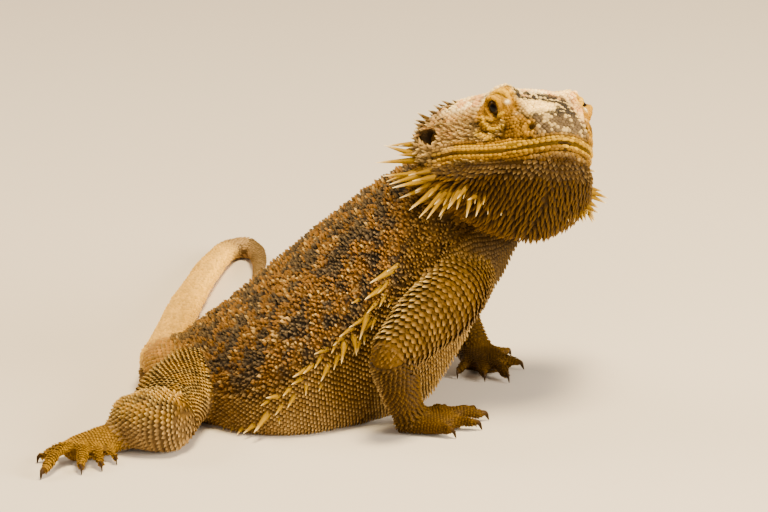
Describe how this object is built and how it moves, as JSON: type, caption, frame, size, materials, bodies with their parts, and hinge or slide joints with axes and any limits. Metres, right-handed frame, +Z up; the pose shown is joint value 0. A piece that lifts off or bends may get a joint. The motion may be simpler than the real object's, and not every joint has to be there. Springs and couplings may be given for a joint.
{
  "type": "bearded dragon",
  "caption": "Life-size still model of a bearded dragon resting on its belly, chest and head raised on its arms, head turned to one side, tail swept back; a display animal.",
  "frame": {"origin": "bottom centre of the bounding box: on the floor, under the middle of the box", "axes": "+X towards the animal's front end, +Y towards the animal's left side, where its tail sweeps, +Z up from the floor it rests on"},
  "size_m": [0.1864, 0.2468, 0.109],
  "materials": {
    "skin_back": "matt scaled",
    "skin_beard": "matt scaled",
    "skin_head": "matt scaled",
    "skin_limb": "matt scaled",
    "skin_tail": "matt scaled",
    "eye": "glossy wet",
    "eardrum": "smooth skin",
    "claw": "satin horn"
  },
  "bodies": {
    "root": {"beard": "skin_beard", "eardrum_left": "eardrum", "eardrum_right": "eardrum", "eye_left": "eye", "eye_right": "eye", "foot_left": "skin_limb", "foot_left_claw_1": "claw", "foot_left_claw_2": "claw", "foot_left_claw_3": "claw", "foot_left_claw_4": "claw", "foot_left_claw_5": "claw", "foot_right": "skin_limb", "foot_right_claw_1": "claw", "foot_right_claw_2": "claw", "foot_right_claw_3": "claw", "foot_right_claw_4": "claw", "foot_right_claw_5": "claw", "forearm_left": "skin_limb", "forearm_right": "skin_limb", "hand_left": "skin_limb", "hand_left_claw_1": "claw", "hand_left_claw_2": "claw", "hand_left_claw_3": "claw", "hand_left_claw_4": "claw", "hand_left_claw_5": "claw", "hand_right": "skin_limb", "hand_right_claw_1": "claw", "hand_right_claw_2": "claw", "hand_right_claw_3": "claw", "hand_right_claw_4": "claw", "hand_right_claw_5": "claw", "head": "skin_head", "lower_jaw": "skin_beard", "neck": "skin_back", "shank_left": "skin_limb", "shank_right": "skin_limb", "tail_1": "skin_tail", "tail_2": "skin_tail", "tail_3": "skin_tail", "tail_4": "skin_tail", "tail_5": "skin_tail", "thigh_left": "skin_limb", "thigh_right": "skin_limb", "trunk": "skin_back", "upper_arm_left": "skin_limb", "upper_arm_right": "skin_limb"}
  },
  "joints": []
}
